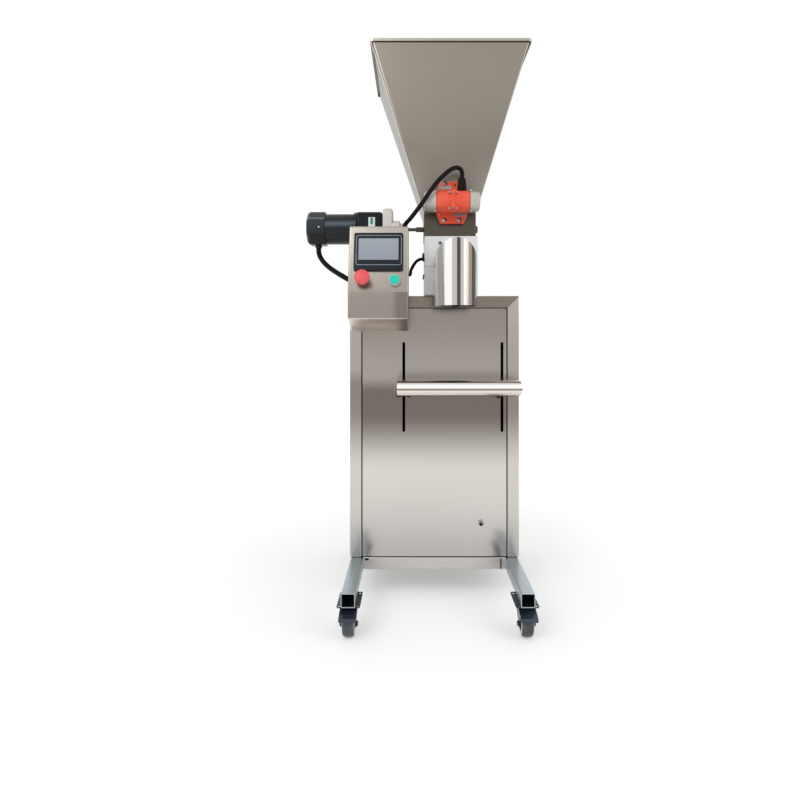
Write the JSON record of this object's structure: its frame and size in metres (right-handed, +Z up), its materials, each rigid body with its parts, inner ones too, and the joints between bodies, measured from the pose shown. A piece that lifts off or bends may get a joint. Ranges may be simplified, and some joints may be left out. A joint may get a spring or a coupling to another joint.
{
  "type": "powder dosing machine",
  "caption": "Free-standing powder dosing machine on casters with a tall hopper, horizontal feed screw, elbow chute, bag shelf and control box.",
  "frame": {"origin": "centre of the footprint at floor level", "axes": "+Z up, -Y is the operator's side with the chute, +X is the operator's right"},
  "size_m": [0.6523, 0.6948, 1.6053],
  "materials": {
    "satin_steel": "satin brushed stainless steel",
    "polished_steel": "polished stainless steel",
    "black_paint": "semi-gloss near-black paint",
    "pale_cast": "pale cast metal",
    "bead_blasted": "bead-blasted aluminium",
    "orange_paint": "orange paint",
    "grey_cast": "plain grey casting",
    "black_rubber": "matt black rubber",
    "black_plastic": "fine-textured black plastic",
    "screen_glass": "glossy touch panel",
    "stop_red": "glossy coral red",
    "start_green": "glossy green",
    "ring_pale": "bright pale ring",
    "caster_black": "dark coated pressed steel",
    "tyre": "hard black tread"
  },
  "bodies": {
    "machine": {"base_leg_left": "satin_steel", "base_leg_right": "satin_steel", "base_cross_front": "satin_steel", "base_cross_rear": "satin_steel", "front_frame": "satin_steel", "front_panel": "satin_steel", "cabinet_shell": "satin_steel", "service_cover": "satin_steel", "foot_socket": "polished_steel", "mains_gland": "black_plastic", "drive_unit": "grey_cast", "control_box": "satin_steel", "box_back": "satin_steel", "screen_bezel": "black_plastic", "display": "screen_glass", "stop_ring": "stop_red", "start_ring": "ring_pale", "hopper": "satin_steel", "housing_lower": "bead_blasted", "housing_upper": "bead_blasted", "barrel": "polished_steel", "screw_motor": "black_paint", "chute": "polished_steel", "stirrer_bearing": "satin_steel", "drive_adapter": "pale_cast", "drive_gearbox": "black_paint", "drive_motor": "black_paint", "fan_cover": "black_paint", "drive_pedestal": "satin_steel", "vibrator_pad": "satin_steel", "vibrator_body": "orange_paint", "vibrator_cap_right": "grey_cast", "vibrator_cap_left": "grey_cast", "vibrator_relief": "black_rubber", "front_left_plate": "caster_black", "front_right_plate": "caster_black", "rear_left_plate": "caster_black", "rear_right_plate": "caster_black", "vibrator_cable": "black_rubber", "motor_cable": "black_rubber", "sensor_cable": "black_rubber"},
    "shelf": {"shelf_tray": "polished_steel", "clamp_bar": "satin_steel"},
    "knob_left": {"knob_left": "black_plastic"},
    "knob_right": {"knob_right": "black_plastic"},
    "stop_stem": {"stop_stem": "stop_red"},
    "stop_head": {"stop_head": "stop_red"},
    "start_button": {"start_button": "start_green"},
    "stirrer": {"stirrer": "polished_steel"},
    "feed_screw": {"feed_screw": "polished_steel"},
    "front_left_swivel": {"front_left_fork": "caster_black"},
    "front_left_wheel": {"front_left_wheel": "tyre"},
    "front_right_swivel": {"front_right_fork": "caster_black"},
    "front_right_wheel": {"front_right_wheel": "tyre"},
    "rear_left_swivel": {"rear_left_fork": "caster_black"},
    "rear_left_wheel": {"rear_left_wheel": "tyre"},
    "rear_right_swivel": {"rear_right_fork": "caster_black"},
    "rear_right_wheel": {"rear_right_wheel": "tyre"},
    "front_left_pedal": {"front_left_pedal": "caster_black"},
    "front_right_pedal": {"front_right_pedal": "caster_black"}
  },
  "joints": [
    {"name": "shelf_height", "type": "slide", "parent": "machine", "child": "shelf", "axis": [0, 0, 1], "range_m": [-0.11, 0.12]},
    {"name": "knob_left_turn", "type": "hinge", "parent": "shelf", "child": "knob_left", "pos_m": [-0.03612, -0.081, 0.6056], "axis": [0, -1, 0], "continuous": true},
    {"name": "knob_right_turn", "type": "hinge", "parent": "shelf", "child": "knob_right", "pos_m": [0.25188, -0.081, 0.6056], "axis": [0, -1, 0], "continuous": true},
    {"name": "stop_press", "type": "slide", "parent": "machine", "child": "stop_stem", "axis": [0, 0.9673, -0.2537], "range_m": [0, 0.005], "stiffness_N_per_m": 600, "springref_m": -0.001},
    {"name": "stop_twist", "type": "hinge", "parent": "stop_stem", "child": "stop_head", "pos_m": [-0.13992, -0.27379, 0.91042], "axis": [0, 0.9673, -0.2537], "range_deg": [0, 45], "stiffness_Nm_per_rad": 0.05},
    {"name": "start_press", "type": "slide", "parent": "machine", "child": "start_button", "axis": [0, 0.9673, -0.2537], "range_m": [0, 0.003], "stiffness_N_per_m": 400, "springref_m": -0.001},
    {"name": "stirrer_spin", "type": "hinge", "parent": "machine", "child": "stirrer", "pos_m": [0.09638, -0.0524, 1.084], "axis": [1, 0, 0], "continuous": true},
    {"name": "feed_screw_spin", "type": "hinge", "parent": "machine", "child": "feed_screw", "pos_m": [0.10787, -0.0784, 0.9718], "axis": [0, -1, 0], "continuous": true},
    {"name": "front_left_swivel_turn", "type": "hinge", "parent": "machine", "child": "front_left_swivel", "pos_m": [-0.17313, -0.2759, 0.0668], "axis": [0, 0, 1], "continuous": true},
    {"name": "front_left_wheel_roll", "type": "hinge", "parent": "front_left_swivel", "child": "front_left_wheel", "pos_m": [-0.17313, -0.3009, 0.0315], "axis": [1, 0, 0], "continuous": true},
    {"name": "front_right_swivel_turn", "type": "hinge", "parent": "machine", "child": "front_right_swivel", "pos_m": [0.28087, -0.2759, 0.0668], "axis": [0, 0, 1], "continuous": true},
    {"name": "front_right_wheel_roll", "type": "hinge", "parent": "front_right_swivel", "child": "front_right_wheel", "pos_m": [0.28087, -0.3009, 0.0315], "axis": [1, 0, 0], "continuous": true},
    {"name": "rear_left_swivel_turn", "type": "hinge", "parent": "machine", "child": "rear_left_swivel", "pos_m": [-0.17313, 0.2696, 0.0668], "axis": [0, 0, 1], "continuous": true},
    {"name": "rear_left_wheel_roll", "type": "hinge", "parent": "rear_left_swivel", "child": "rear_left_wheel", "pos_m": [-0.17313, 0.2946, 0.0315], "axis": [1, 0, 0], "continuous": true},
    {"name": "rear_right_swivel_turn", "type": "hinge", "parent": "machine", "child": "rear_right_swivel", "pos_m": [0.28087, 0.2696, 0.0668], "axis": [0, 0, 1], "continuous": true},
    {"name": "rear_right_wheel_roll", "type": "hinge", "parent": "rear_right_swivel", "child": "rear_right_wheel", "pos_m": [0.28087, 0.2946, 0.0315], "axis": [1, 0, 0], "continuous": true},
    {"name": "front_left_brake", "type": "hinge", "parent": "front_left_swivel", "child": "front_left_pedal", "pos_m": [-0.17313, -0.3114, 0.0652], "axis": [1, 0, 0], "range_deg": [-18, 0]},
    {"name": "front_right_brake", "type": "hinge", "parent": "front_right_swivel", "child": "front_right_pedal", "pos_m": [0.28087, -0.3114, 0.0652], "axis": [1, 0, 0], "range_deg": [-18, 0]}
  ]
}
